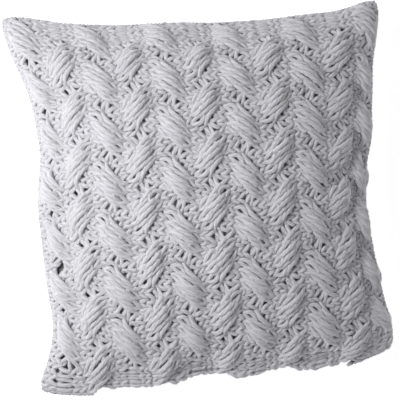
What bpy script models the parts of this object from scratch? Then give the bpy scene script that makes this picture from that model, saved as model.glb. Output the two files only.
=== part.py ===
"""Throw pillow: a chunky knitted cover around a fibre-filled inner cushion.

The cover is two knitted panels joined by seam yarn, with a zip in the bottom seam. The inner cushion
is a sewn casing full of fibre. The pillow lies on its back panel. Units are metres: +Z points out of
the front panel, +Y to the top edge and +X to the right, and the origin lies under the middle of the
flat that the pillow rests on.
"""

import math

import bmesh
import bpy
from mathutils import Vector

# Outline: the half side to a corner's tip, and how far each side pulls in at its middle
COVER_HALF = 0.228
SIDE_PULL = 0.020
TOP_PULL = 0.017
BOTTOM_PULL = 0.010
BOTTOM_FLATNESS = 4
CORNER_ROUND = 0.005
CORNER_SHARPNESS = 12

# Height of each crown above the seam, and depth of the flat under the back panel
CROWN = 0.075
REST_DEPTH = 0.066
ROUNDNESS = 0.45
GRID = 16

# Layers, from the outside in
KNIT_THICKNESS = 0.008
KNIT_RIM = 0.009
INSERT_SIDE_GAP = 0.009
INSERT_TOP_GAP = 0.0015
CASING_THICKNESS = 0.001
FILL_SIDE_GAP = 0.0025
FILL_TOP_GAP = 0.0005
FIT_GAP = 0.0003

# Seam cords
SEAM_CORD_RADIUS = 0.0013
SEAM_CORD_GAP = 0.0008
CASING_THREAD_RADIUS = 0.0006
SEAM_POINTS = 17
SEAM_END = 0.97

# Zip, in the bottom seam
SLOT_HALF_LENGTH = 0.150
SLOT_HALF_HEIGHT = 0.005
TAPE_HALF_LENGTH = 0.145
TAPE_Y = -0.2040
TAPE_THICKNESS = 0.0006
TAPE_INNER_EDGE = 0.0010
TAPE_OUTER_EDGE = 0.0130
COIL_LEFT = -0.128
COIL_RIGHT = 0.130
COIL_PITCH = 0.004
COIL_TOOTH = 0.0022
COIL_THICKNESS = 0.0024
COIL_TIP = 0.0008
COIL_SPINE = 0.0020
COIL_EDGE = 0.0030
STOP_LENGTH = 0.0025
STITCH_LOW = 0.008
STITCH_SIZE = 0.001

# Slider and pull tab
SLIDER_X = 0.122
SLIDER_HALF_LENGTH = 0.0055
SLIDER_HALF_WIDTH = 0.0038
PLATE_THICKNESS = 0.0012
INNER_PLATE_THICKNESS = 0.0010
DIVIDER_HALF_WIDTH = 0.0005
DIVIDER_LENGTH = 0.0035
BRIDGE_HALF_LENGTH = 0.0026
BRIDGE_HALF_WIDTH = 0.00055
BRIDGE_HEIGHT = 0.0034
BRIDGE_HOLE_HALF = 0.00105
PIVOT_HEIGHT = 0.0013
TAB_LENGTH = 0.024
TAB_THICKNESS = 0.0010
TAB_EYE_END = 0.0039
TAB_LEG_INSIDE = 0.0009
TAB_LEG_OUTSIDE = 0.0019
TAB_HALF_WIDTH = 0.0026

# Blank label on the inner cushion's left edge
LABEL_HALF_WIDTH = 0.0175
LABEL_HALF_HEIGHT = 0.010
LABEL_THICKNESS = 0.0008

SEAM_Z = REST_DEPTH
FRONT = 1
BACK = -1

YARN_GREY = (0.60, 0.59, 0.63)
SEAM_GREY = (0.52, 0.51, 0.55)
CASING_WHITE = (0.80, 0.80, 0.79)
FIBRE_WHITE = (0.88, 0.88, 0.86)
TAPE_GREY = (0.42, 0.42, 0.45)
COIL_GREY = (0.50, 0.50, 0.53)
ZIP_METAL = (0.62, 0.62, 0.64)


def clear_scene():
    for old in list(bpy.data.objects):
        bpy.data.objects.remove(old, do_unlink=True)


def make_material(name, colour, roughness, metallic=0.0):
    material = bpy.data.materials.new(name)
    material.use_nodes = True
    shader = material.node_tree.nodes["Principled BSDF"]
    shader.inputs["Base Color"].default_value = (*colour, 1.0)
    shader.inputs["Roughness"].default_value = roughness
    shader.inputs["Metallic"].default_value = metallic
    return material


def add_object(name, data, material):
    data.materials.append(material)
    made = bpy.data.objects.new(name, data)
    bpy.context.scene.collection.objects.link(made)
    return made


def add_mesh(name, points, faces, material, origin=(0, 0, 0)):
    """A mesh object whose points are given in world space and whose origin is at `origin`."""
    origin = Vector(origin)
    mesh = bpy.data.meshes.new(name)
    mesh.from_pydata([Vector(p) - origin for p in points], [], faces)
    mesh.update()
    made = add_object(name, mesh, material)
    made.location = origin
    return made


def box_corners(low, high):
    return [
        (x, y, z) for x in (low[0], high[0]) for y in (low[1], high[1]) for z in (low[2], high[2])
    ]


BOX_FACES = [(0, 1, 3, 2), (4, 6, 7, 5), (0, 4, 5, 1), (2, 3, 7, 6), (0, 2, 6, 4), (1, 5, 7, 3)]


def add_box(name, low, high, material, origin=(0, 0, 0)):
    return add_mesh(name, box_corners(low, high), BOX_FACES, material, origin)


def add_plate(name, outline, y_low, y_high, material, origin=(0, 0, 0)):
    """A plate in the XZ plane: `outline` runs anticlockwise as seen from -Y, looking along +Y."""
    mesh = bmesh.new()
    face = mesh.faces.new([mesh.verts.new((x, y_low, z)) for x, z in outline])
    grown = bmesh.ops.extrude_face_region(mesh, geom=[face])
    for vert in (g for g in grown["geom"] if isinstance(g, bmesh.types.BMVert)):
        vert.co.y = y_high
    bmesh.ops.recalc_face_normals(mesh, faces=mesh.faces)
    bmesh.ops.triangulate(mesh, faces=mesh.faces)
    bmesh.ops.translate(mesh, vec=-Vector(origin), verts=mesh.verts)
    data = bpy.data.meshes.new(name)
    mesh.to_mesh(data)
    mesh.free()
    made = add_object(name, data, material)
    made.location = origin
    return made


def add_boolean(target, cutter, operation):
    cutter.hide_render = True
    cutter.display_type = "WIRE"
    modifier = target.modifiers.new(f"{operation.lower()}_{cutter.name}", "BOOLEAN")
    modifier.operation = operation
    modifier.object = cutter


# The pillow's form


def outline_point(half, u, v):
    """The place in plan of grid point (u, v), each from -1 to 1, in a lens of that half side."""
    top_or_bottom = (
        TOP_PULL * (1 - u**2) if v > 0 else BOTTOM_PULL * (1 - abs(u) ** BOTTOM_FLATNESS)
    )
    corner = CORNER_ROUND * abs(u * v) ** CORNER_SHARPNESS
    x = u * (half - SIDE_PULL * (1 - v**2) - corner)
    y = v * (half - top_or_bottom - corner)
    return x, y


def lens_point(half, crown, rest, side, u, v):
    """A point of the lens's front or back surface. The back is flat where it rests."""
    rise = crown * (max(0.0, 1 - u * u) * max(0.0, 1 - v * v)) ** ROUNDNESS
    if side == BACK:
        rise = min(rise, rest)
    x, y = outline_point(half, u, v)
    return x, y, SEAM_Z + side * rise


def grid_values():
    """Grid lines from -1 to 1, closer together towards the edges, where the lens is steep."""
    return [math.sin(math.pi / 2 * (2 * i / GRID - 1)) for i in range(GRID + 1)]


def lens_grid(half, crown, rest, side, lift=0.0):
    values = grid_values()
    points = [lens_point(half, crown, rest, side, u, v) for v in values for u in values]
    return [(x, y, z + side * lift) for x, y, z in points]


def grid_index(column, row):
    return row * (GRID + 1) + column


def grid_triangles(start, upward):
    triangles = []
    for row in range(GRID):
        for column in range(GRID):
            a = start + grid_index(column, row)
            b = start + grid_index(column + 1, row)
            c = start + grid_index(column + 1, row + 1)
            d = start + grid_index(column, row + 1)
            pair = [(a, b, c), (a, c, d)]
            if (row < GRID // 2) != (column < GRID // 2):
                pair = [(a, b, d), (b, c, d)]
            triangles += pair if upward else [tuple(reversed(t)) for t in pair]
    return triangles


def grid_border():
    """Indices round the grid's edge, anticlockwise as seen from above."""
    bottom = [grid_index(i, 0) for i in range(GRID)]
    right = [grid_index(GRID, i) for i in range(GRID)]
    top = [grid_index(i, GRID) for i in range(GRID, 0, -1)]
    left = [grid_index(0, i) for i in range(GRID, 0, -1)]
    return bottom + right + top + left


def add_panel(name, half, crown, rest, rim, thickness, side, material):
    """One curved panel: a dish whose rim lies in the seam's plane, just clear of the other panel."""
    lift = FIT_GAP / 2
    outer = lens_grid(half, crown, rest, side, lift)
    inner = lens_grid(half - rim, crown - thickness, rest - thickness, side, lift)
    count = len(outer)
    faces = grid_triangles(0, side == FRONT) + grid_triangles(count, side == BACK)
    border = grid_border()
    for here, there in zip(border, border[1:] + border[:1]):
        quad = (here, here + count, there + count, there)
        faces.append(quad if side == FRONT else tuple(reversed(quad)))
    return add_mesh(name, outer + inner, faces, material)


def add_filling(name, half, crown, rest, material):
    """One closed lens, front and back surfaces sharing the border."""
    front = lens_grid(half, crown, rest, FRONT)
    back = lens_grid(half, crown, rest, BACK)
    border = set(grid_border())
    points, back_index = list(front), {}
    for i, point in enumerate(back):
        back_index[i] = i if i in border else len(points)
        if i not in border:
            points.append(point)
    back_faces = [tuple(back_index[i] for i in face) for face in grid_triangles(0, False)]
    return add_mesh(name, points, grid_triangles(0, True) + back_faces, material)


def seam_path(half, low, high, fixed, along_x):
    """Points along one side of the outline, from `low` to `high`, both as shares of the half side."""
    path = []
    for i in range(SEAM_POINTS):
        share = low + (high - low) * i / (SEAM_POINTS - 1)
        u, v = (share, fixed) if along_x else (fixed, share)
        path.append((*outline_point(half, u, v), SEAM_Z))
    return path


def add_cord(name, path, radius, material, closed=False):
    curve = bpy.data.curves.new(name, "CURVE")
    curve.dimensions = "3D"
    curve.bevel_depth = radius
    curve.bevel_resolution = 2
    curve.use_fill_caps = not closed
    spline = curve.splines.new("POLY")
    spline.points.add(len(path) - 1)
    for point, place in zip(spline.points, path):
        point.co = (*place, 1.0)
    spline.use_cyclic_u = closed
    return add_object(name, curve, material)


# The cover


def cover(knit, seam):
    slot = add_box(
        "zip_slot_cutter",
        (-SLOT_HALF_LENGTH, -COVER_HALF - 0.01, SEAM_Z - SLOT_HALF_HEIGHT),
        (SLOT_HALF_LENGTH, TAPE_Y + 0.01, SEAM_Z + SLOT_HALF_HEIGHT),
        seam,
    )
    for name, side in (("knit_front_panel", FRONT), ("knit_back_panel", BACK)):
        panel = add_panel(
            name, COVER_HALF, CROWN, REST_DEPTH - FIT_GAP / 2, KNIT_RIM, KNIT_THICKNESS, side, knit
        )
        add_boolean(panel, slot, "DIFFERENCE")

    half = COVER_HALF - KNIT_RIM - SEAM_CORD_GAP - SEAM_CORD_RADIUS
    zip_end = (SLOT_HALF_LENGTH + 0.005) / half
    for name, low, high, fixed, along_x in (
        ("seam_yarn_left", -SEAM_END, SEAM_END, -1, False),
        ("seam_yarn_right", -SEAM_END, SEAM_END, 1, False),
        ("seam_yarn_top", -SEAM_END, SEAM_END, 1, True),
        ("seam_yarn_bottom_left", -SEAM_END, -zip_end, -1, True),
        ("seam_yarn_bottom_right", zip_end, SEAM_END, -1, True),
    ):
        path = seam_path(half, low, high, fixed, along_x)
        add_cord(name, path, SEAM_CORD_RADIUS, seam)


# The inner cushion


def inner_cushion(casing, thread, fibre, label):
    half = COVER_HALF - KNIT_RIM - INSERT_SIDE_GAP
    crown = CROWN - KNIT_THICKNESS - INSERT_TOP_GAP
    rest = REST_DEPTH - KNIT_THICKNESS - INSERT_TOP_GAP
    for name, side in (("casing_front", FRONT), ("casing_back", BACK)):
        add_panel(name, half, crown, rest, CASING_THICKNESS, CASING_THICKNESS, side, casing)

    inside = half - CASING_THICKNESS
    fill_crown = crown - CASING_THICKNESS - FILL_TOP_GAP
    fill_rest = rest - CASING_THICKNESS - FILL_TOP_GAP
    add_filling("fibre_filling", inside - FILL_SIDE_GAP, fill_crown, fill_rest, fibre)

    seam_half = inside - FILL_SIDE_GAP / 2
    loop = []
    for fixed, along_x, start in ((-1, True, -1), (1, False, -1), (1, True, 1), (-1, False, 1)):
        loop += seam_path(seam_half, start, -start, fixed, along_x)[:-1]
    add_cord("casing_seam_thread", loop, CASING_THREAD_RADIUS, thread, closed=True)

    edge = outline_point(half, -1, 0)[0]
    clear = 0.003
    add_box(
        "care_label",
        (edge - clear - LABEL_THICKNESS, -LABEL_HALF_WIDTH, SEAM_Z - LABEL_HALF_HEIGHT),
        (edge - clear, LABEL_HALF_WIDTH, SEAM_Z + LABEL_HALF_HEIGHT),
        label,
    )


# The zip


def coil_outline(side):
    """A comb in the XZ plane: a spine with teeth that point at the zip's middle line."""
    tip, spine, edge = (SEAM_Z + side * z for z in (COIL_TIP, COIL_SPINE, COIL_EDGE))
    count = int((COIL_RIGHT - COIL_LEFT) / COIL_PITCH)
    outline = []
    for i in range(count):
        left = COIL_LEFT + i * COIL_PITCH
        outline += [(left, tip), (left + COIL_TOOTH, tip), (left + COIL_TOOTH, spine)]
        outline.append((left + COIL_PITCH, spine))
    outline += [(COIL_LEFT + count * COIL_PITCH, edge), (COIL_LEFT, edge)]
    return outline if side == FRONT else list(reversed(outline))


def zip_chain(tape, coil, metal, thread):
    coil_back = TAPE_Y - FIT_GAP
    coil_front = coil_back - COIL_THICKNESS
    for word, side in (("front", FRONT), ("back", BACK)):

        def across(z_inner, z_outer):
            return sorted((SEAM_Z + side * z_inner, SEAM_Z + side * z_outer))

        low, high = across(TAPE_INNER_EDGE, TAPE_OUTER_EDGE)
        add_box(
            f"zip_tape_{word}",
            (-TAPE_HALF_LENGTH, TAPE_Y, low),
            (TAPE_HALF_LENGTH, TAPE_Y + TAPE_THICKNESS, high),
            tape,
        )
        low, high = across(STITCH_LOW, STITCH_LOW + STITCH_SIZE)
        add_box(
            f"zip_stitching_{word}",
            (-TAPE_HALF_LENGTH, TAPE_Y - FIT_GAP - STITCH_SIZE, low),
            (TAPE_HALF_LENGTH, TAPE_Y - FIT_GAP, high),
            thread,
        )
        add_plate(f"zip_coil_{word}", coil_outline(side), coil_front, coil_back, coil)
        low, high = across(COIL_TIP, COIL_EDGE)
        stop_x = COIL_RIGHT + FIT_GAP
        add_box(
            f"zip_top_stop_{word}",
            (stop_x, coil_front, low),
            (stop_x + STOP_LENGTH, coil_back, high),
            metal,
        )
    low, high = SEAM_Z - COIL_EDGE, SEAM_Z + COIL_EDGE
    stop_x = COIL_LEFT - FIT_GAP
    add_box(
        "zip_bottom_stop",
        (stop_x - STOP_LENGTH, coil_front, low),
        (stop_x, coil_back, high),
        metal,
    )


def zip_slider(metal):
    """Two plates joined by a divider between the coils, with a bridge that holds the pull tab."""
    outer_low = TAPE_Y - 2 * FIT_GAP - COIL_THICKNESS - PLATE_THICKNESS
    outer_high = outer_low + PLATE_THICKNESS
    inner_low = TAPE_Y + TAPE_THICKNESS + FIT_GAP
    pivot = (SLIDER_X, outer_low - PIVOT_HEIGHT, SEAM_Z)
    origin = (SLIDER_X, outer_low, SEAM_Z)

    def block(name, x_low, x_high, y_low, y_high, half_width):
        return add_box(
            name,
            (SLIDER_X + x_low, y_low, SEAM_Z - half_width),
            (SLIDER_X + x_high, y_high, SEAM_Z + half_width),
            metal,
            origin,
        )

    length = SLIDER_HALF_LENGTH
    slider = block("zip_slider", -length, length, outer_low, outer_high, SLIDER_HALF_WIDTH)
    overlap = PLATE_THICKNESS / 2
    inner_high = inner_low + INNER_PLATE_THICKNESS
    parts = (
        block("inner_plate", -length, length, inner_low, inner_high, SLIDER_HALF_WIDTH),
        block(
            "divider",
            length - DIVIDER_LENGTH,
            length - FIT_GAP,
            outer_high - overlap,
            inner_low + overlap,
            DIVIDER_HALF_WIDTH,
        ),
        block(
            "bridge",
            -BRIDGE_HALF_LENGTH,
            BRIDGE_HALF_LENGTH,
            outer_low - BRIDGE_HEIGHT,
            outer_low + overlap,
            BRIDGE_HALF_WIDTH,
        ),
    )
    for part in parts:
        add_boolean(slider, part, "UNION")
    hole = block(
        "bridge_hole",
        -BRIDGE_HOLE_HALF,
        BRIDGE_HOLE_HALF,
        pivot[1] - BRIDGE_HOLE_HALF,
        pivot[1] + BRIDGE_HOLE_HALF,
        2 * BRIDGE_HALF_WIDTH,
    )
    add_boolean(slider, hole, "DIFFERENCE")
    return pivot


def zip_pull_tab(metal, pivot):
    """A flat tab whose eye holds a cross bar: the bar turns in the slider's bridge."""
    bar = TAB_THICKNESS / 2
    legs_end = TAB_EYE_END + 0.002
    taper = TAB_LENGTH - 0.004
    outline = [
        (bar, -TAB_LEG_OUTSIDE),
        (bar, TAB_LEG_OUTSIDE),
        (-TAB_EYE_END, TAB_LEG_OUTSIDE),
        (-legs_end, TAB_HALF_WIDTH),
        (-taper, TAB_HALF_WIDTH),
        (-TAB_LENGTH, TAB_LEG_OUTSIDE),
        (-TAB_LENGTH, -TAB_LEG_OUTSIDE),
        (-taper, -TAB_HALF_WIDTH),
        (-legs_end, -TAB_HALF_WIDTH),
        (-TAB_EYE_END, -TAB_LEG_OUTSIDE),
    ]
    placed = [(pivot[0] + x, pivot[2] + z) for x, z in reversed(outline)]
    tab = add_plate("zip_pull_tab", placed, pivot[1] - bar, pivot[1] + bar, metal, pivot)
    eye = add_box(
        "tab_eye",
        (pivot[0] - TAB_EYE_END, pivot[1] - TAB_THICKNESS, pivot[2] - TAB_LEG_INSIDE),
        (pivot[0] - bar, pivot[1] + TAB_THICKNESS, pivot[2] + TAB_LEG_INSIDE),
        metal,
        pivot,
    )
    add_boolean(tab, eye, "DIFFERENCE")


def build():
    clear_scene()
    knit = make_material("knit_yarn", YARN_GREY, 0.9)
    seam = make_material("seam_yarn", SEAM_GREY, 0.9)
    casing = make_material("casing_fabric", CASING_WHITE, 0.85)
    thread = make_material("sewing_thread", CASING_WHITE, 0.7)
    fibre = make_material("fibre", FIBRE_WHITE, 1.0)
    label = make_material("label_tape", CASING_WHITE, 0.6)
    tape = make_material("zip_tape", TAPE_GREY, 0.85)
    coil = make_material("zip_coil", COIL_GREY, 0.4)
    metal = make_material("zip_metal", ZIP_METAL, 0.35, 1.0)

    cover(knit, seam)
    inner_cushion(casing, thread, fibre, label)
    zip_chain(tape, coil, metal, thread)
    pivot = zip_slider(metal)
    zip_pull_tab(metal, pivot)


build()
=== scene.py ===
"""Throw pillow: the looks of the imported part, built stitch by stitch.

An inner cushion is inflated by a cloth simulation and then settled into the shape of a used one.
The knit is one long yarn per group of rows, swept along stitch loops that are laid over the
cushion's form. Rows run up the pillow and are counted from left to right, so the columns of
stitches (wales) lie on their side. Bands of three wales cross each other every fourth row, over
and under, like a woven basket. One period is the rows from one crossing to the next.
"""

import math

import bpy
import numpy as np
from mathutils import Matrix, Vector


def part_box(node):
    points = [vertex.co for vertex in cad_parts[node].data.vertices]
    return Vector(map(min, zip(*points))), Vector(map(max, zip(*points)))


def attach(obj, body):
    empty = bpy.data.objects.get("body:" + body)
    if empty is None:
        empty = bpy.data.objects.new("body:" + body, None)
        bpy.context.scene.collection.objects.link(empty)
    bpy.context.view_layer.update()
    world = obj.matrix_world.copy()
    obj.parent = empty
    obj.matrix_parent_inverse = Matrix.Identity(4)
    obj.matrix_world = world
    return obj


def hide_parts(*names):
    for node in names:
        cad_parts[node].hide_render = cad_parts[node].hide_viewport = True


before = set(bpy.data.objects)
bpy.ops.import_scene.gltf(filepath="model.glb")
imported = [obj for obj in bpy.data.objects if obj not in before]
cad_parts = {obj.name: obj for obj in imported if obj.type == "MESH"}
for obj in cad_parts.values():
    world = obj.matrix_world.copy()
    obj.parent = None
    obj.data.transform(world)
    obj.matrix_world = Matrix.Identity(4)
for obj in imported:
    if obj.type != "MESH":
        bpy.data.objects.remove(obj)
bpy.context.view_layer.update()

# The frame's sizes that the looks are worked out from
SEAM_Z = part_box("knit_front_panel")[0].z
TOP_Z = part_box("knit_front_panel")[1].z
HALF_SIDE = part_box("knit_front_panel")[1].x
SLIDER_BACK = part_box("zip_slider")[1].y

# Yarn: its radius where it lies plain, how much thicker it gets where it floats, its plies, the
# length of their turn, and their relief as a share of the radius
YARN_RADIUS = 0.00257
FLOAT_FLUFF = 0.30
PLIES = 4
PLY_PITCH = 0.045
PLY_RELIEF = 0.13

# Height of the middle of the knit above the cushion, its share that is left at the edges, and
# the width of those edges, as a share of the panel
MID_HEIGHT = 0.0032
EDGE_HEIGHT_SHARE = 0.35
EDGE_WIDTH = 0.03

# Counts: three wales to a band, and one row before the first period
BAND = 3
BANDS = 15
WALES = BAND * BANDS
PERIODS = 11
ROWS_PER_PERIOD = 4
FIRST_ROW = 1
ROWS = PERIODS * ROWS_PER_PERIOD + FIRST_ROW

# A stitch loop: its depth, how far its head and feet reach (rows), and how far its legs pinch in
LOOP_DEPTH = 0.75 * YARN_RADIUS
LOOP_REACH = 0.80
STITCH_NECK = 0.36
FLOAT_NECK = 0.10
# Neighbouring loops share their feet up to this place (rows). Beside a slit, the yarn between
# them bends towards the slit's end from this place and over this length (wales)
FOOT_END = 0.45
BEND_START = 0.02
BEND_LENGTH = 0.16

# A crossing, in periods: its centre, the half length of its over, under and level stitches, and
# the length of the plain row before the first period and after the last
CROSSING_CENTRE = 0.607
OVER_HALF = 0.275
UNDER_HALF = 0.104
LEVEL_HALF = 0.178
PLAIN_ROW = 0.2143
# Share of a band's sideways shift that is done before, and again after, the crossing row
OVER_LEAN = 0.20
UNDER_LEAN = 0.28
# How far the wales of a band spread apart, how far they slant along the panel (periods), and
# the rows over which both fade
OVER_SPREAD = 0.21
UNDER_SPREAD = 0.95
OVER_TILT = 0.04
UNDER_TILT = 0.04
SPREAD_ROWS = 1.1
# Height of the band on top, the share of it that outer wales lose, and its half length (rows)
OVER_LIFT = 3.2 * YARN_RADIUS
OVER_DOME = 0.40
OVER_ROWS = 0.66
# Depth of the band below, and its half length (rows)
UNDER_DIP = 0.50 * YARN_RADIUS
UNDER_ROWS = 0.8
# Half the length of the slit between two bands that part (periods)
SLIT_HALF = 0.085
# Slits beside the left edge that have stretched open, by (crossing, slot below): how far its
# sides are pushed apart (wales), and half its length (periods)
STRETCHED_SLITS = {(0, 4): (0.60, 0.26), (0, 0): (0.12, 0.16)}
# How far to the sides that push reaches (wales)
STRETCHED_REACH = 1.5

# How much stitches and their legs vary: along the panel (periods), sideways (wales) and in height
STITCH_WOBBLE = (0.009, 0.035, 0.15 * YARN_RADIUS)
LEG_WOBBLE = (0.009, 0.030, 0.18 * YARN_RADIUS)
# The same for the loops' proportions, and the share of it all that is left in a crossing
SHAPE_WOBBLE = 0.035
FLOAT_CALM = 0.4

# Where the knit lies on its panel, as shares of the panel: the margin, and how far the pattern
# is drawn to the left and upward in the middle
PANEL_MARGIN = 0.001
DRAWN_LEFT = 0.008
DRAWN_UP = 0.014
# The knit is pulled up at its left edge: how far, the height where it is most, its spread up and
# across the panel, and the height over which it sets in
PULL_UP = 0.030
PULL_AT = 0.12
PULL_WIDTH = 0.17
PULL_REACH = 0.16
PULL_START = 0.09
# Least height of the yarn over the floor
FLOOR_GAP = 0.0002

# Yarn pieces of each panel, samples to a stitch and sides to the yarn on the front and on the
# back, and the random seed of the first piece
PIECES = 5
FRONT_DETAIL = (20, 12)
BACK_DETAIL = (16, 9)
FIRST_SEED = 7

# Yarn stitched over the seam: its radius, the length of a stitch, its swing up and down, how far
# out it lies and how far that varies, and samples to a stitch and sides to the yarn
SEAM_RADIUS = 0.0021
SEAM_PITCH = 0.0090
SEAM_SWING = 0.0032
SEAM_OUT = 0.0005
SEAM_BITE = 0.0012
SEAM_SAMPLES = 12
SEAM_SIDES = 9

# The zip's opening: its half length, and the gap from the slider to the cushion behind it
ZIP_HALF = 0.152
ZIP_CLEAR = 0.0012
# Past the ends of the opening the cushion may reach further out: over what length, and how far
ZIP_FADE = 0.04
ZIP_FADE_OUT = 0.03
# How far the knit is drawn back from the zip, where that ends, from the middle of the panel, and
# the length over which it fades, as shares of the panel
ZIP_MARGIN = 0.0165
ZIP_MARGIN_END = 0.405
ZIP_MARGIN_FADE = 0.05

FRONT, BACK = 1, -1


def smooth(x):
    """A smooth step: 0 up to x = 0, and 1 from x = 1 on."""
    x = np.clip(x, 0.0, 1.0)
    return x * x * (3 - 2 * x)


# Objects from arrays


def mesh_object(name, points, polygons, material, uv=None):
    """A smooth mesh from an array of points and a list of (n, k) arrays of polygons."""
    loops = np.concatenate([p.ravel() for p in polygons]).astype(np.int32)
    sizes = np.concatenate([np.full(len(p), p.shape[1]) for p in polygons])
    starts = np.concatenate([[0], np.cumsum(sizes)[:-1]]).astype(np.int32)
    mesh = bpy.data.meshes.new(name)
    mesh.vertices.add(len(points))
    mesh.vertices.foreach_set("co", points.astype(np.float32).ravel())
    mesh.loops.add(len(loops))
    mesh.loops.foreach_set("vertex_index", loops)
    mesh.polygons.add(len(sizes))
    mesh.polygons.foreach_set("loop_start", starts)
    mesh.polygons.foreach_set("use_smooth", np.ones(len(sizes), bool))
    if uv is not None:
        layer = mesh.uv_layers.new(name="yarn")
        layer.data.foreach_set("uv", uv.astype(np.float32).ravel())
    mesh.update(calc_edges=True)
    mesh.materials.append(material)
    made = bpy.data.objects.new(name, mesh)
    bpy.context.scene.collection.objects.link(made)
    return made


def tube_quads(count, sides):
    """Polygons that join `count` rings of `sides` points each."""
    i = np.arange(count - 1)[:, None] * sides
    k = np.arange(sides)[None, :]
    k2 = (k + 1) % sides
    return np.stack([i + k, i + k2, i + sides + k2, i + sides + k], -1).reshape(-1, 4)


def sweep(path, normal, radius, sides):
    """A plied yarn along a path: points, polygons and the UVs (length, turn) of the corners.

    The ring's corners turn with the plies, so that each ply is a ridge that runs along the mesh.
    """
    tangent = np.gradient(path, axis=0)
    tangent /= np.linalg.norm(tangent, axis=1, keepdims=True)
    up = normal - (normal * tangent).sum(1, keepdims=True) * tangent
    up /= np.linalg.norm(up, axis=1, keepdims=True)
    across = np.cross(tangent, up)
    length = np.concatenate([[0], np.cumsum(np.linalg.norm(np.diff(path, axis=0), axis=1))])
    turn = np.arange(sides) / sides
    angle = 2 * np.pi * (turn[None, :] + length[:, None] / PLY_PITCH)
    around = radius * (1 + PLY_RELIEF * np.cos(2 * np.pi * PLIES * turn))
    ring = (
        path[:, None, :]
        + (around * np.cos(angle))[..., None] * across[:, None, :]
        + (around * np.sin(angle))[..., None] * up[:, None, :]
    )
    count = len(path)
    u0, u1 = length[:-1, None], length[1:, None]
    v0, v1 = turn[None, :], turn[None, :] + 1 / sides
    square = ((u0, v0), (u0, v1), (u1, v1), (u1, v0))
    corners = [np.stack(np.broadcast_arrays(u, v), -1) for u, v in square]
    caps = np.stack([np.arange(sides)[::-1], (count - 1) * sides + np.arange(sides)])
    uv = np.concatenate([np.stack(corners, -2).reshape(-1, 2), np.zeros((caps.size, 2))])
    return ring.reshape(-1, 3), [tube_quads(count, sides), caps], uv


# The inner cushion, inflated

# Cells along a side of the cushion, its side when flat, and the share that its corners draw in
CUSHION_GRID = 36
CUSHION_SIDE = 0.4515
CORNER_ROUND = 0.05
# Height of the cushion before it is inflated, and of its crown over the seam afterwards, which
# leaves room for the knit
CUSHION_RISE = 0.02
KNIT_ROOM = 0.0105
CUSHION_CROWN = TOP_Z - SEAM_Z - KNIT_ROOM
# The cushion rests on its flattened back: the height of the back, and how softly it flattens
CUSHION_REST = 0.0125
REST_SOFTNESS = 0.002
# How far the knit's lower edge bulges past the cushion
BOTTOM_OUT = 0.0095
# The insert doesn't fill the cover's left edge: the share of its thickness that is missing there,
# from where, and over what length, as shares of the half side
CASING_SLACK = 0.5
SLACK_FROM = 0.6
SLACK_FADE = 0.2
# How the stuffed cover has settled: how far its corners have shifted, by corner
CORNER_SHIFTS = {
    (-1, -1): (0.0220, 0.0010),
    (1, -1): (-0.0100, -0.0010),
    (-1, 1): (-0.0190, 0.0080),
    (1, 1): (0.0060, -0.0060),
}
# Drawn-out tips of the corners: how far in x and in y, and their size in half sides
EARS = {
    (-1, -1): (-0.023, 0.004, 0.18),
    (1, -1): (0.004, 0.014, 0.26),
    (-1, 1): (-0.002, 0.011, 0.21),
    (1, 1): (0.004, 0.016, 0.18),
}
# Bows of whole edges: (axis, sign, out, centre), with the centre in half sides along the edge,
# and then the bows' width along the edge and how steeply they fade away from it
EDGE_BOWS = (
    (0, -1, -0.0250, 0.56),
    (0, 1, -0.0110, -0.05),
    (1, 1, 0.0060, -0.13),
    (1, -1, 0.0060, -0.04),
)
BOW_WIDTH = 0.4
BOW_STEEPNESS = 3
# Lumps where stuffing or a raised band pushes an edge out, and dents, in the same terms
EDGE_LUMPS = (
    (0, -1, 0.0025, 0.78),
    (0, -1, -0.0055, 0.27),
    (0, -1, 0.0010, -0.08),
    (0, -1, -0.0040, -0.58),
    (0, -1, 0.0025, -0.82),
    (0, -1, 0.0045, -1.02),
    (0, 1, 0.0035, 0.92),
    (0, 1, -0.0025, 0.66),
    (0, 1, 0.0050, 0.28),
    (0, 1, -0.0010, -0.15),
    (0, 1, -0.0005, -0.50),
    (0, 1, 0.0035, -0.80),
    (1, 1, 0.0028, -0.80),
    (1, 1, 0.0015, 0.60),
    (1, 1, -0.0022, 0.82),
    (1, 1, -0.0020, -0.35),
    (1, -1, 0.0065, -0.44),
    (1, -1, -0.0040, -0.14),
    (1, -1, 0.0040, 0.09),
    (1, -1, -0.0025, 0.28),
    (1, -1, 0.0055, 0.48),
    (1, -1, -0.0020, 0.84),
)
LUMP_WIDTH = 0.13
LUMP_STEEPNESS = 8
# A crease along the bottom edge of the front: its depth, place and width, the share of its depth
# that comes and goes along it, and the rate (radians to a half side) and phase of that
CREASE_DEPTH = 0.0065
CREASE_AT = -0.885
CREASE_WIDTH = 0.05
CREASE_VARIES = 0.35
CREASE_RATE = 9
CREASE_PHASE = 1.5
# The seam of the right edge has rolled to the front: how far up and in, and the back's bulge
ROLL_UP = 0.013
ROLL_IN = 0.004
ROLL_BULGE = 0.004
ROLL_WIDTH = 0.22
# Frames that the cushion is given to inflate
SIM_FRAMES = 60


def grid_shares():
    """Places across and up the cushion's grid, from -1 to 1, that broadcast over it."""
    values = np.linspace(-1, 1, CUSHION_GRID + 1)
    return values[:, None], values[None, :]


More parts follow.
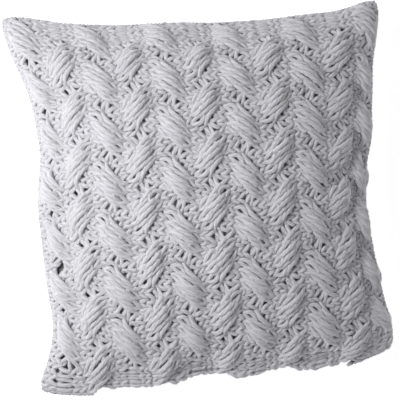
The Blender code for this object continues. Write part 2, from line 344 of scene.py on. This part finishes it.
def cushion_grid_mesh():
    """The flat cushion: points, quads, and the point index of the front's and the back's grid."""
    n = CUSHION_GRID
    values = np.linspace(-0.5, 0.5, n + 1)
    x, y = np.meshgrid(values * CUSHION_SIDE, values * CUSHION_SIDE, indexing="ij")
    rounding = 1 - CORNER_ROUND * (4 * np.abs(values[:, None] * values)) ** 5
    x, y = x * rounding, y * rounding
    u, v = grid_shares()
    rise = CUSHION_RISE * np.sqrt((1 - u**2) * (1 - v**2))
    front = np.arange((n + 1) ** 2).reshape(n + 1, n + 1)
    back = front.copy()
    inner = (slice(1, n), slice(1, n))
    back[inner] = (n + 1) ** 2 + np.arange((n - 1) ** 2).reshape(n - 1, n - 1)
    points = np.concatenate(
        [
            np.stack([x, y, rise], -1).reshape(-1, 3),
            np.stack([x[inner], y[inner], -rise[inner]], -1).reshape(-1, 3),
        ]
    )

    def quads(index, upward):
        a, b, c, d = index[:-1, :-1], index[1:, :-1], index[1:, 1:], index[:-1, 1:]
        order = [a, b, c, d] if upward else [d, c, b, a]
        return np.stack(order, -1).reshape(-1, 4)

    return points, np.concatenate([quads(front, True), quads(back, False)]), front, back


def inflate(obj):
    """Cloth simulation of the sewn, stretchy cushion under pressure, applied to its mesh."""
    cloth = obj.modifiers.new("inflate", "CLOTH")
    settings = cloth.settings
    settings.quality = 5
    settings.mass = 0.3
    settings.tension_stiffness = settings.compression_stiffness = 5
    settings.tension_damping = settings.compression_damping = 5
    settings.shear_stiffness = 0.1
    settings.shear_damping = 5
    settings.bending_stiffness = 5
    settings.bending_damping = 1
    settings.air_damping = 30
    settings.use_pressure = True
    settings.uniform_pressure_force = 2.0
    settings.effector_weights.gravity = 0
    cloth.collision_settings.use_collision = False
    cloth.point_cache.frame_start = 1
    cloth.point_cache.frame_end = SIM_FRAMES
    scene = bpy.context.scene
    for step in range(1, SIM_FRAMES + 1):
        scene.frame_set(step)
    evaluated = obj.evaluated_get(bpy.context.evaluated_depsgraph_get())
    mesh = evaluated.to_mesh()
    points = np.zeros(len(mesh.vertices) * 3, np.float32)
    mesh.vertices.foreach_get("co", points)
    evaluated.to_mesh_clear()
    obj.modifiers.remove(cloth)
    scene.frame_set(1)
    return points.reshape(-1, 3).astype(float)


def cushion_form():
    """Front and back grids of points of the inflated cushion, in the frame's place and size."""
    points, quads, front, back = cushion_grid_mesh()
    material = bpy.data.materials.new("temporary")
    obj = mesh_object("inflating", points, [quads], material)
    inflated = inflate(obj)
    bpy.data.objects.remove(obj)
    middle = CUSHION_GRID // 2
    crown = inflated[front[middle, middle], 2]
    inflated[:, 2] *= CUSHION_CROWN / crown
    inflated[:, 2] += SEAM_Z
    grids = [inflated[index] for index in (front, back)]
    above_rest = (grids[1][..., 2] - CUSHION_REST) / REST_SOFTNESS
    grids[1][..., 2] = CUSHION_REST + REST_SOFTNESS * np.logaddexp(0, above_rest)
    grids = [settle(grid) for grid in grids]
    u, v = grid_shares()
    varies = 1 - CREASE_VARIES + CREASE_VARIES * np.cos(CREASE_RATE * u + CREASE_PHASE)
    depth = CREASE_DEPTH * (1 - u**8) * varies
    grids[0][..., 2] -= depth * np.exp(-(((v - CREASE_AT) / CREASE_WIDTH) ** 2))
    for grid, bulge in zip(grids, (0.0, ROLL_BULGE)):
        past = np.clip((u - 1) / ROLL_WIDTH + 1, 0, 1)
        along = 1 - v**6
        rolled = past**2 * along
        grid[..., 0] += 4 * bulge * past * (1 - past) * along - ROLL_IN * rolled
        grid[..., 2] += ROLL_UP * rolled
    return grids, quads


def settle(points):
    """Moves points of the cushion to where the corners and edges of the used pillow lie."""
    share = points[..., :2] / HALF_SIDE
    moved = points.copy()
    for (u, v), shift in CORNER_SHIFTS.items():
        weight = (1 + u * share[..., 0]) * (1 + v * share[..., 1]) / 4
        for axis in range(2):
            moved[..., axis] += weight * shift[axis]
    for (u, v), (out_x, out_y, size) in EARS.items():
        away = (1 - u * share[..., 0]) ** 2 + (1 - v * share[..., 1]) ** 2
        weight = np.exp(-away / size**2)
        moved[..., 0] += out_x * weight
        moved[..., 1] += out_y * weight
    bows = (EDGE_BOWS, BOW_WIDTH, BOW_STEEPNESS)
    lumps = (EDGE_LUMPS, LUMP_WIDTH, LUMP_STEEPNESS)
    for shifts, width, steepness in (bows, lumps):
        for axis, sign, out, centre in shifts:
            near = np.clip((1 + sign * share[..., axis]) / 2, 0, 1) ** steepness
            along = np.exp(-(((share[..., 1 - axis] - centre) / width) ** 2))
            moved[..., axis] += sign * out * near * along
    return moved


class Panel:
    """One side of the cushion as a smooth surface over (p, q), both from 0 to 1."""

    def __init__(self, grid, side):
        """Pads the grid by one point all round, so that the spline reaches its edges."""
        low = 2 * grid[0] - grid[1]
        high = 2 * grid[-1] - grid[-2]
        grid = np.concatenate([low[None], grid, high[None]])
        low = 2 * grid[:, 0] - grid[:, 1]
        high = 2 * grid[:, -1] - grid[:, -2]
        self.grid = np.concatenate([low[:, None], grid, high[:, None]], axis=1)
        self.cells = self.grid.shape[0] - 3
        self.side = side

    @staticmethod
    def weights(t):
        """Weights of four neighbouring points of a Catmull-Rom spline."""
        t2, t3 = t * t, t * t * t
        return np.stack(
            [
                -0.5 * t3 + t2 - 0.5 * t,
                1.5 * t3 - 2.5 * t2 + 1,
                -1.5 * t3 + 2 * t2 + 0.5 * t,
                0.5 * t3 - 0.5 * t2,
            ]
        )

    def point(self, p, q):
        """Points of the surface itself."""
        x, y = np.clip(p, 0, 1) * self.cells, np.clip(q, 0, 1) * self.cells
        i = np.minimum(x.astype(int), self.cells - 1)
        j = np.minimum(y.astype(int), self.cells - 1)
        wi, wj = self.weights(x - i), self.weights(y - j)
        out = 0
        for a in range(4):
            for b in range(4):
                out = out + (wi[a] * wj[b])[:, None] * self.grid[i + a, j + b]
        return out

    def place(self, p, q, height):
        """Points at `height` above the surface, and the surface's normals there."""
        step = 0.006
        near_p, near_q = np.clip(p, step, 1 - step), np.clip(q, step, 1 - step)
        along = self.point(near_p + step, near_q) - self.point(near_p - step, near_q)
        up = self.point(near_p, near_q + step) - self.point(near_p, near_q - step)
        normal = self.side * np.cross(along, up)
        normal /= np.linalg.norm(normal, axis=1, keepdims=True)
        return self.point(p, q) + height[:, None] * normal, normal


# The knit's plan

# Row coordinates that the courses of the wales are worked out at
STEPS_PER_ROW = 8
STEPS = np.arange((FIRST_ROW - 1) * STEPS_PER_ROW, (ROWS + 1) * STEPS_PER_ROW + 1) / STEPS_PER_ROW


def band_slots():
    """For each period, the slot that each band is in before that period's crossing."""
    slots = [list(range(BANDS))]
    for period in range(PERIODS):
        now = list(slots[-1])
        where = {slot: band for band, slot in enumerate(now)}
        first = 1 if period % 2 == 0 else 0
        for low in range(first, BANDS - 1, 2):
            now[where[low]], now[where[low + 1]] = low + 1, low
        slots.append(now)
    return np.array(slots)


SLOTS = band_slots()


def shift_done(rows, lean):
    """Share of a crossing's sideways shift that is done at `rows` from the crossing's centre."""
    early = lean * np.clip((rows + 2) / 1.5, 0, 1) ** 2
    late = lean * np.clip((2 - rows) / 1.5, 0, 1) ** 2
    return early + (1 - 2 * lean) * np.clip(rows + 0.5, 0, 1) + lean - late


def wale_course(wale):
    """Place along the panel, sideways place (in wales), lift and spread of a wale at STEPS."""
    band, within = divmod(wale, BAND)
    from_middle = within - (BAND - 1) / 2
    slots = SLOTS[:, band]
    moved = np.diff(slots)
    crossing = np.arange(PERIODS)
    over = (moved != 0) & ((moved < 0) == (crossing % 2 == 0))
    under = (moved != 0) & ~over
    half = np.select([over, under], [OVER_HALF, UNDER_HALF], LEVEL_HALF)
    centre = crossing + CROSSING_CENTRE
    first_row = crossing * ROWS_PER_PERIOD + ROWS_PER_PERIOD - 1
    knots = np.stack([first_row, first_row + 1], -1).ravel()
    knot_rows = np.concatenate([[FIRST_ROW - 1, FIRST_ROW], knots, [ROWS, ROWS + 1]])
    ends = np.stack([centre - half, centre + half], -1).ravel()
    knot_places = np.concatenate([[-PLAIN_ROW, 0], ends, [PERIODS, PERIODS + PLAIN_ROW]])
    place = np.interp(STEPS, knot_rows, knot_places)
    rows = STEPS[None, :] - first_row[:, None] - 0.5
    bump = np.exp(-((rows / SPREAD_ROWS) ** 2))
    lean = np.select([over, under], [OVER_LEAN, UNDER_LEAN], 0.0)[:, None]
    slot = slots[0] + (moved[:, None] * shift_done(rows, lean)).sum(0)
    widen = np.select([over, under], [OVER_SPREAD, UNDER_SPREAD], 0.0)[:, None]
    spread = 1 + (widen * bump).sum(0)
    tilt = np.select([over, under], [OVER_TILT, UNDER_TILT], 0.0) * moved
    place = place - from_middle * (tilt[:, None] * bump).sum(0)
    dome = 1 - OVER_DOME * abs(from_middle)
    raised = OVER_LIFT * dome * over[:, None] * np.exp(-((rows / OVER_ROWS) ** 4))
    dipped = UNDER_DIP * under[:, None] * np.exp(-((rows / UNDER_ROWS) ** 2))
    lift = (raised - dipped).sum(0)
    sideways = (slot + 0.5) * BAND + from_middle * spread
    for (period, low), (push, _) in STRETCHED_SLITS.items():
        rows_off = STEPS - (period + 1) * ROWS_PER_PERIOD + 0.5
        off = sideways - (low + 1) * BAND
        sideways = sideways + push * np.sign(off) * np.exp(-(rows_off**2) - (off / STRETCHED_REACH) ** 2)
    return np.stack([place, sideways, lift, spread])


COURSES = np.stack([wale_course(wale) for wale in range(WALES)])


def at_rows(courses, rows):
    """Courses of several wales, read at row coordinates: (wales, values, samples)."""
    return np.array(
        [[np.interp(own, STEPS, values) for values in course] for own, course in zip(rows, courses)]
    )


def slit_pull(row):
    """For each two neighbouring wales of a row, where the yarn between them is pulled to, or nan."""
    period, in_period = divmod(row, ROWS_PER_PERIOD)
    pulled = np.full(WALES - 1, np.nan)
    if in_period == ROWS_PER_PERIOD - 1:
        crossing, side = period, -1
    elif in_period == 0:
        crossing, side = period - 1, 1
    else:
        return pulled
    first = 1 if crossing % 2 == 0 else 0
    slot, within = np.divmod(np.arange(WALES - 1), BAND)
    last_in_band = within == BAND - 1
    between = last_in_band & ((slot - first) % 2 == 1)
    half = np.array([STRETCHED_SLITS.get((crossing, low), (0, SLIT_HALF))[1] for low in slot])
    pulled[between] = crossing + CROSSING_CENTRE + side * half[between]
    return pulled


def row_path(row, samples, rng):
    """One row's yarn from bottom to top, as samples of (place, sideways, height, thickness)."""
    slots = SLOTS[min(row // ROWS_PER_PERIOD, PERIODS)]
    order = (np.argsort(slots)[:, None] * BAND + np.arange(BAND)).ravel()
    crosses = row % ROWS_PER_PERIOD == ROWS_PER_PERIOD - 1
    theta = 2 * np.pi * (np.arange(samples) + 0.5) / samples
    calm = FLOAT_CALM if crosses else 1.0
    neck = (FLOAT_NECK if crosses else STITCH_NECK) + calm * rng.normal(0, SHAPE_WOBBLE, (WALES, 1))
    reach = LOOP_REACH + calm * rng.normal(0, SHAPE_WOBBLE, (WALES, 1))
    across = theta / (2 * np.pi) - 0.5 + neck * np.sin(2 * theta)
    along = 0.5 - reach * np.cos(theta)
    depth = -LOOP_DEPTH * np.cos(2 * theta)
    place, centre, lift, spread = at_rows(COURSES[order], row + along).transpose(1, 0, 2)
    sideways = centre + across * spread
    foot = 1 - smooth(along / FOOT_END)
    share = np.abs(across)
    bend = foot * smooth((share - BEND_START) / BEND_LENGTH)
    pulls = slit_pull(row)
    joined = [place.copy(), sideways.copy(), lift.copy()]
    for step in (-1, 1):
        other = np.clip(np.arange(WALES) + step, 0, WALES - 1)
        inside = other != np.arange(WALES)
        pick = inside[:, None] & (across * step > 0)
        for values, own in zip(joined, (place, centre, lift)):
            blended = own + share * (own[other] - own)
            values[:] = np.where(pick, values + foot * (blended - values), values)
        gap = np.arange(WALES) + min(step, 0)
        target = pulls[np.clip(gap, 0, WALES - 2)][:, None]
        pick = pick & ~np.isnan(target)
        joined[0][:] = np.where(pick, joined[0] + bend * (target - joined[0]), joined[0])
    wobble = rng.normal(0, 1, (3, WALES, 1)) * np.array(STITCH_WOBBLE)[:, None, None]
    legs = rng.normal(0, 1, (2, 3, WALES, 1)) * np.array(LEG_WOBBLE)[:, None, None]
    leg_share = np.sin(theta) ** 2
    joined = np.stack(joined) + calm * (wobble + np.where(theta < np.pi, legs[0], legs[1]) * leg_share)
    joined[2] += depth
    fluff = 1 + FLOAT_FLUFF * np.sqrt(np.maximum(0, lift) / OVER_LIFT)
    return np.concatenate([joined, fluff[None]]).transpose(1, 2, 0).reshape(-1, 4)


def soften(path, rounds):
    """Averages each point of a path with its neighbours, in place."""
    for _ in range(rounds):
        path[1:-1] = 0.25 * path[:-2] + 0.5 * path[1:-1] + 0.25 * path[2:]
    return path


def knit_piece(name, panel, rows, samples, sides, material, seed):
    """One length of yarn knitted to and fro over `rows`."""
    rng = np.random.default_rng(seed)
    runs = []
    for row in rows:
        run = row_path(row, samples, rng)
        runs.append(run if row % 2 == 0 else run[::-1])
    path = soften(np.concatenate(runs), 2)
    p = PANEL_MARGIN + (1 - 2 * PANEL_MARGIN) * path[:, 0] / PERIODS
    q = path[:, 1] / WALES
    p = p - DRAWN_LEFT * np.sin(np.pi * p)
    q = q + DRAWN_UP * np.sin(np.pi * q)
    corner = np.exp(-((p / PULL_REACH) ** 2) - ((q - PULL_AT) / PULL_WIDTH) ** 2)
    q = q + PULL_UP * corner * smooth(q / PULL_START)
    low = PANEL_MARGIN + ZIP_MARGIN * smooth((ZIP_MARGIN_END - np.abs(p - 0.5)) / ZIP_MARGIN_FADE)
    q = low + (1 - PANEL_MARGIN - low) * q
    edge = np.minimum(np.minimum(p, 1 - p), np.minimum(q, 1 - q))
    rise = EDGE_HEIGHT_SHARE + (1 - EDGE_HEIGHT_SHARE) * smooth(edge / EDGE_WIDTH)
    height = MID_HEIGHT * rise + path[:, 2]
    points, normal = panel.place(p, q, height)
    points = soften(points, 1)
    made, polygons, uv = sweep(points, normal, YARN_RADIUS * path[:, 3:], sides)
    made[:, 2] = np.maximum(made[:, 2], FLOOR_GAP)
    return mesh_object(name, made, polygons, material, uv)


def seam_piece(name, line, outward, material):
    """Yarn stitched to and fro over the seam along a line of points."""
    lengths = np.concatenate([[0], np.cumsum(np.linalg.norm(np.diff(line, axis=0), axis=1))])
    count = int(lengths[-1] / SEAM_PITCH * SEAM_SAMPLES)
    along = np.linspace(0, lengths[-1], count)
    centre = np.stack([np.interp(along, lengths, line[:, axis]) for axis in range(3)], -1)
    phase = 2 * np.pi * along / SEAM_PITCH
    out = np.array([*outward, 0.0])
    path = centre + np.outer(SEAM_OUT + SEAM_BITE * np.cos(2 * phase), out)
    path[:, 2] += SEAM_SWING * np.sin(phase)
    normal = np.broadcast_to(out, path.shape)
    points, polygons, uv = sweep(path, normal, SEAM_RADIUS, SEAM_SIDES)
    return mesh_object(name, points, polygons, material, uv)


# Materials

# Yarn: where the groove beside a ply is deepest and where it ends, in plies from the ridge, the
# scale of the fibres' noise along and round the yarn, how much the fibres add to the bump and to
# the colour, how much slow changes add to the colour, and the sum up to which it stays dark. The
# groove also darkens the colour, as painted shade between the plies
GROOVE_BOTTOM = 0.5
GROOVE_END = 0.15
FIBRE_SCALE = (250.0, 14.0, 1.0)
FIBRE_BUMP = 0.6
FIBRE_COLOUR = 0.5
SHADE_COLOUR = 0.4
DARK_UP_TO = 0.25


def new_material(name, colour, roughness, metallic=0.0, sheen=0.0):
    """A Principled material with the numbers that it starts from."""
    material = bpy.data.materials.new(name)
    material.use_nodes = True
    shader = material.node_tree.nodes["Principled BSDF"]
    shader.inputs["Base Color"].default_value = (*colour, 1)
    shader.inputs["Roughness"].default_value = roughness
    shader.inputs["Metallic"].default_value = metallic
    shader.inputs["Sheen Weight"].default_value = sheen
    shader.inputs["Sheen Roughness"].default_value = 0.5
    return material


def add_node(material, kind, **values):
    """A new node, with each value set on its input of that name or else as a property."""
    node = material.node_tree.nodes.new(kind)
    for key, value in values.items():
        if key in node.inputs:
            node.inputs[key].default_value = value
        else:
            setattr(node, key, value)
    return node


def add_ramp(material, dark, colour):
    """A colour ramp from dark to colour."""
    ramp = add_node(material, "ShaderNodeValToRGB")
    ramp.color_ramp.elements[0].color = (*dark, 1)
    ramp.color_ramp.elements[1].color = (*colour, 1)
    return ramp


def yarn_material(name, colour, dark):
    """Plied yarn: grooves between the plies, painted darker as painted shade, fibres along them and slow
    random changes of tone.
    """
    material = new_material(name, colour, 0.92, sheen=0.25)
    tree = material.node_tree
    link = tree.links.new
    shader = tree.nodes["Principled BSDF"]
    shader.inputs["Subsurface Weight"].default_value = 0.6
    shader.inputs["Subsurface Radius"].default_value = (1, 1, 1)
    shader.inputs["Subsurface Scale"].default_value = 0.0015
    uv = add_node(material, "ShaderNodeUVMap", uv_map="yarn")
    split = add_node(material, "ShaderNodeSeparateXYZ")
    link(uv.outputs["UV"], split.inputs[0])
    plies = add_node(material, "ShaderNodeMath", operation="MULTIPLY")
    plies.inputs[1].default_value = float(PLIES)
    link(split.outputs["Y"], plies.inputs[0])
    wave = add_node(material, "ShaderNodeMath", operation="PINGPONG")
    wave.inputs[1].default_value = 0.5
    link(plies.outputs[0], wave.inputs[0])
    groove = add_node(material, "ShaderNodeMapRange", interpolation_type="SMOOTHSTEP")
    groove.inputs["From Min"].default_value = GROOVE_BOTTOM
    groove.inputs["From Max"].default_value = GROOVE_END
    link(wave.outputs[0], groove.inputs["Value"])

    stretch = add_node(material, "ShaderNodeMapping")
    stretch.inputs["Scale"].default_value = FIBRE_SCALE
    link(uv.outputs["UV"], stretch.inputs["Vector"])
    fibre = add_node(material, "ShaderNodeTexNoise", Scale=1.0, Detail=3.0, Roughness=0.6)
    link(stretch.outputs["Vector"], fibre.inputs["Vector"])
    coords = add_node(material, "ShaderNodeTexCoord")
    shade = add_node(material, "ShaderNodeTexNoise", Scale=22.0, Detail=2.0)
    link(coords.outputs["Object"], shade.inputs["Vector"])

    height = add_node(material, "ShaderNodeMath", operation="MULTIPLY_ADD")
    height.inputs[1].default_value = FIBRE_BUMP
    link(fibre.outputs["Fac"], height.inputs[0])
    link(groove.outputs["Result"], height.inputs[2])
    bump = add_node(material, "ShaderNodeBump", Strength=0.55, Distance=0.0006)
    link(height.outputs[0], bump.inputs["Height"])
    link(bump.outputs["Normal"], shader.inputs["Normal"])

    # Painted shade: the groove darkens the colour between the plies, added to slow random changes of
    # tone
    tone_and_groove_shade = add_node(material, "ShaderNodeMath", operation="MULTIPLY_ADD")
    tone_and_groove_shade.inputs[1].default_value = SHADE_COLOUR
    link(shade.outputs["Fac"], tone_and_groove_shade.inputs[0])
    link(groove.outputs["Result"], tone_and_groove_shade.inputs[2])
    amount = add_node(material, "ShaderNodeMath", operation="MULTIPLY_ADD")
    amount.inputs[1].default_value = FIBRE_COLOUR
    link(fibre.outputs["Fac"], amount.inputs[0])
    link(tone_and_groove_shade.outputs[0], amount.inputs[2])
    ramp = add_ramp(material, dark, colour)
    ramp.color_ramp.elements[0].position = DARK_UP_TO
    link(amount.outputs[0], ramp.inputs["Fac"])
    link(ramp.outputs["Color"], shader.inputs["Base Color"])
    return material


def woven_material(name, colour, dark, scale):
    """Plain woven cloth: crossing threads as colour and bump."""
    material = new_material(name, colour, 0.85, sheen=0.1)
    tree = material.node_tree
    link = tree.links.new
    shader = tree.nodes["Principled BSDF"]
    coords = add_node(material, "ShaderNodeTexCoord")
    waves = []
    for direction in ("X", "Y"):
        wave = add_node(material, "ShaderNodeTexWave", bands_direction=direction, Scale=scale)
        wave.inputs["Distortion"].default_value = 0.6
        link(coords.outputs["Object"], wave.inputs["Vector"])
        waves.append(wave)
    weave = add_node(material, "ShaderNodeMath", operation="MULTIPLY")
    link(waves[0].outputs["Fac"], weave.inputs[0])
    link(waves[1].outputs["Fac"], weave.inputs[1])
    ramp = add_ramp(material, dark, colour)
    link(weave.outputs[0], ramp.inputs["Fac"])
    link(ramp.outputs["Color"], shader.inputs["Base Color"])
    bump = add_node(material, "ShaderNodeBump", Strength=0.3, Distance=0.0003)
    link(weave.outputs[0], bump.inputs["Height"])
    link(bump.outputs["Normal"], shader.inputs["Normal"])
    return material


def metal_material(name, colour):
    """Zinc die casting: cloudy roughness with fine rub marks."""
    material = new_material(name, colour, 0.35, metallic=1.0)
    tree = material.node_tree
    link = tree.links.new
    shader = tree.nodes["Principled BSDF"]
    coords = add_node(material, "ShaderNodeTexCoord")
    cloud = add_node(material, "ShaderNodeTexNoise", Scale=450.0, Detail=4.0)
    link(coords.outputs["Object"], cloud.inputs["Vector"])
    rough = add_node(material, "ShaderNodeMapRange")
    rough.inputs["To Min"].default_value = 0.25
    rough.inputs["To Max"].default_value = 0.50
    link(cloud.outputs["Fac"], rough.inputs["Value"])
    link(rough.outputs["Result"], shader.inputs["Roughness"])
    bump = add_node(material, "ShaderNodeBump", Strength=0.15, Distance=0.0001)
    link(cloud.outputs["Fac"], bump.inputs["Height"])
    link(bump.outputs["Normal"], shader.inputs["Normal"])
    return material


def coil_material(name, colour, pitch):
    """Moulded nylon coil: a ring at every pitch and a soft shine.

    The bands of a wave texture repeat every pi / (10 * Scale).
    """
    material = new_material(name, colour, 0.45)
    tree = material.node_tree
    link = tree.links.new
    shader = tree.nodes["Principled BSDF"]
    coords = add_node(material, "ShaderNodeTexCoord")
    rings = add_node(material, "ShaderNodeTexWave", bands_direction="X", Scale=math.pi / (10 * pitch))
    link(coords.outputs["Object"], rings.inputs["Vector"])
    ramp = add_ramp(material, [0.45 * channel for channel in colour], colour)
    link(rings.outputs["Fac"], ramp.inputs["Fac"])
    link(ramp.outputs["Color"], shader.inputs["Base Color"])
    bump = add_node(material, "ShaderNodeBump", Strength=0.7, Distance=0.0004)
    link(rings.outputs["Fac"], bump.inputs["Height"])
    link(bump.outputs["Normal"], shader.inputs["Normal"])
    return material


# Camera, light and floor

# The camera looks nearly straight down: its tilt off the vertical, where it stands and its roll
LENS = 111.8
CAMERA_TARGET = Vector((-0.0096, 0, SEAM_Z))
CAMERA_DISTANCE = 1.5
CAMERA_TILT = math.radians(7)
CAMERA_HEADING = math.radians(160)
CAMERA_ROLL = math.radians(4.9)

# One soft light above and to the left, a dim sky and a floor that glows
KEY_PLACE = Vector((-0.54, 0.17, 0.75))
KEY_TARGET = Vector((0, 0, 0.05))
KEY_SIZE = 0.4
KEY_POWER = 6.9
SKY_STRENGTH = 0.22
FLOOR_GLOW = 0.69

# The floor's flat radius and its sides, the radius of the curve into the wall, the rings of
# points on that curve, and the wall's top
FLOOR_RADIUS = 5.0
FLOOR_SIDES = 64
WALL_CURVE = 1.0
WALL_RINGS = 9
WALL_TOP = 1.9


def add_camera():
    data = bpy.data.cameras.new("camera")
    data.lens = LENS
    camera = bpy.data.objects.new("camera", data)
    bpy.context.scene.collection.objects.link(camera)
    aside = Vector((math.cos(CAMERA_HEADING), math.sin(CAMERA_HEADING), 0))
    back = math.sin(CAMERA_TILT) * aside + math.cos(CAMERA_TILT) * Vector((0, 0, 1))
    up = Vector((math.sin(CAMERA_ROLL), math.cos(CAMERA_ROLL), 0))
    right = up.cross(back).normalized()
    up = back.cross(right)
    turned = Matrix((right, up, back)).transposed().to_4x4()
    camera.matrix_world = Matrix.Translation(CAMERA_TARGET + CAMERA_DISTANCE * back) @ turned
    bpy.context.scene.camera = camera


def add_key_light():
    data = bpy.data.lights.new("key", "AREA")
    data.size = KEY_SIZE
    data.energy = KEY_POWER
    light = bpy.data.objects.new("key", data)
    bpy.context.scene.collection.objects.link(light)
    light.location = KEY_PLACE
    light.rotation_euler = (KEY_TARGET - KEY_PLACE).to_track_quat("-Z", "Y").to_euler()


def studio_floor(material):
    """A round floor that curves up into a low wall, so that a level view also ends on white."""
    turn = np.linspace(0, np.pi / 2, WALL_RINGS)
    radius = np.append(FLOOR_RADIUS + WALL_CURVE * np.sin(turn), FLOOR_RADIUS + WALL_CURVE)
    height = np.append(WALL_CURVE * (1 - np.cos(turn)), WALL_TOP)
    around = 2 * np.pi * np.arange(FLOOR_SIDES) / FLOOR_SIDES
    x = np.outer(radius, np.cos(around))
    y = np.outer(radius, np.sin(around))
    z = np.outer(height, np.ones(FLOOR_SIDES))
    rings = np.stack([x, y, z], axis=-1)
    disc = np.arange(FLOOR_SIDES)[None]
    wall = tube_quads(len(radius), FLOOR_SIDES)[:, ::-1]
    return mesh_object("floor", rings.reshape(-1, 3), [disc, wall], material)


def add_studio():
    bpy.context.scene.view_settings.view_transform = "Standard"
    world = bpy.data.worlds.new("studio")
    world.use_nodes = True
    sky = world.node_tree.nodes["Background"]
    sky.inputs["Color"].default_value = (1, 1, 1, 1)
    sky.inputs["Strength"].default_value = SKY_STRENGTH
    bpy.context.scene.world = world
    add_key_light()
    floor_material = new_material("floor", (0.90, 0.90, 0.90), 0.9)
    shader = floor_material.node_tree.nodes["Principled BSDF"]
    shader.inputs["Emission Color"].default_value = (1, 1, 1, 1)
    shader.inputs["Emission Strength"].default_value = FLOOR_GLOW
    studio_floor(floor_material)


# Putting it together


def add_cushion(grids, quads, material):
    """The inner cushion, slack at the cover's left edge and kept behind the zip."""
    points = np.concatenate([grids[0].reshape(-1, 3), grids[1][1:-1, 1:-1].reshape(-1, 3)])
    slack = CASING_SLACK * smooth((-points[:, 0] / HALF_SIDE - SLACK_FROM) / SLACK_FADE)
    points[:, 2] += slack * (SEAM_Z - points[:, 2])
    beside_zip = smooth((np.abs(points[:, 0]) - ZIP_HALF) / ZIP_FADE)
    behind_zip = SLIDER_BACK + ZIP_CLEAR - ZIP_FADE_OUT * beside_zip
    points[:, 1] = np.maximum(points[:, 1], behind_zip)
    cushion = mesh_object("inner_cushion", points, [quads], material)
    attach(cushion, "cover")
    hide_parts("casing_front", "casing_back", "fibre_filling", "casing_seam_thread")


def add_knit(word, side, grid, detail, material):
    """The yarn pieces of one panel, each knitted to and fro over its own rows."""
    panel = Panel(grid, side)
    samples, sides = detail
    each = (ROWS - FIRST_ROW) / PIECES
    for part in range(PIECES):
        rows = range(FIRST_ROW + round(part * each), FIRST_ROW + round((part + 1) * each))
        name = f"knit_{word}_yarn_{part + 1}"
        piece = knit_piece(name, panel, rows, samples, sides, material, FIRST_SEED + part)
        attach(piece, "cover")
        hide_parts(f"knit_{word}_panel")


def add_seams(grid, material):
    """Seam yarn along the left, right and top edges, and along the bottom beside the zip."""
    bottom = grid[:, 0]
    edges = {
        "left": (grid[0], (-1, 0)),
        "right": (grid[-1], (1, 0)),
        "top": (grid[:, -1], (0, 1)),
        "bottom_left": (bottom[bottom[:, 0] < -ZIP_HALF], (0, -1)),
        "bottom_right": (bottom[bottom[:, 0] > ZIP_HALF], (0, -1)),
    }
    for word, (line, outward) in edges.items():
        seam = seam_piece(f"seam_stitches_{word}", line, outward, material)
        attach(seam, "cover")
        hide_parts(f"seam_yarn_{word}")


# Painted shade: the casing's dark grey makes the gaps and slits of the knit look shaded. The fibre
# filling shares it.
casing_painted_shade_material = woven_material("casing", (0.34, 0.34, 0.35), (0.26, 0.26, 0.27), 420.0)
# The dark colour of each yarn goes mostly into the grooves between its plies, as painted shade
knit_material = yarn_material("knit_yarn", (0.570, 0.564, 0.598), (0.420, 0.415, 0.442))
seam_material = yarn_material("seam_yarn", (0.500, 0.494, 0.525), (0.410, 0.405, 0.435))
# The material of each slot of the record, for the CAD nodes that stay
finishes = {
    "zip_tape": woven_material("zip_tape", (0.36, 0.355, 0.375), (0.22, 0.22, 0.23), 600.0),
    "zip_coil": coil_material("zip_coil", (0.40, 0.395, 0.415), 0.0016),
    "zip_metal": metal_material("zip_metal", (0.62, 0.62, 0.64)),
    "sewing_thread": woven_material("sewing_thread", (0.40, 0.395, 0.415), (0.26, 0.26, 0.27), 1500.0),
    "label_tape": woven_material("label_tape", (0.80, 0.80, 0.80), (0.66, 0.66, 0.66), 900.0),
    "knit_yarn": knit_material,
    "seam_yarn": seam_material,
    "casing_fabric": casing_painted_shade_material,
    "fibre": casing_painted_shade_material,
}

add_camera()
add_studio()
grids, cushion_quads = cushion_form()
add_cushion(grids, cushion_quads, casing_painted_shade_material)

# The knit's lower edge bulges past the cushion, most in the middle
u, v = grid_shares()
for grid in grids:
    grid[..., 1] -= BOTTOM_OUT * (1 - u**4) * np.maximum(0, -v) ** 3
add_knit("front", FRONT, grids[0], FRONT_DETAIL, knit_material)
add_knit("back", BACK, grids[1], BACK_DETAIL, knit_material)
add_seams(grids[0], seam_material)

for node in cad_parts.values():
    for material_slot in node.material_slots:
        material_slot.material = finishes[material_slot.material.name]
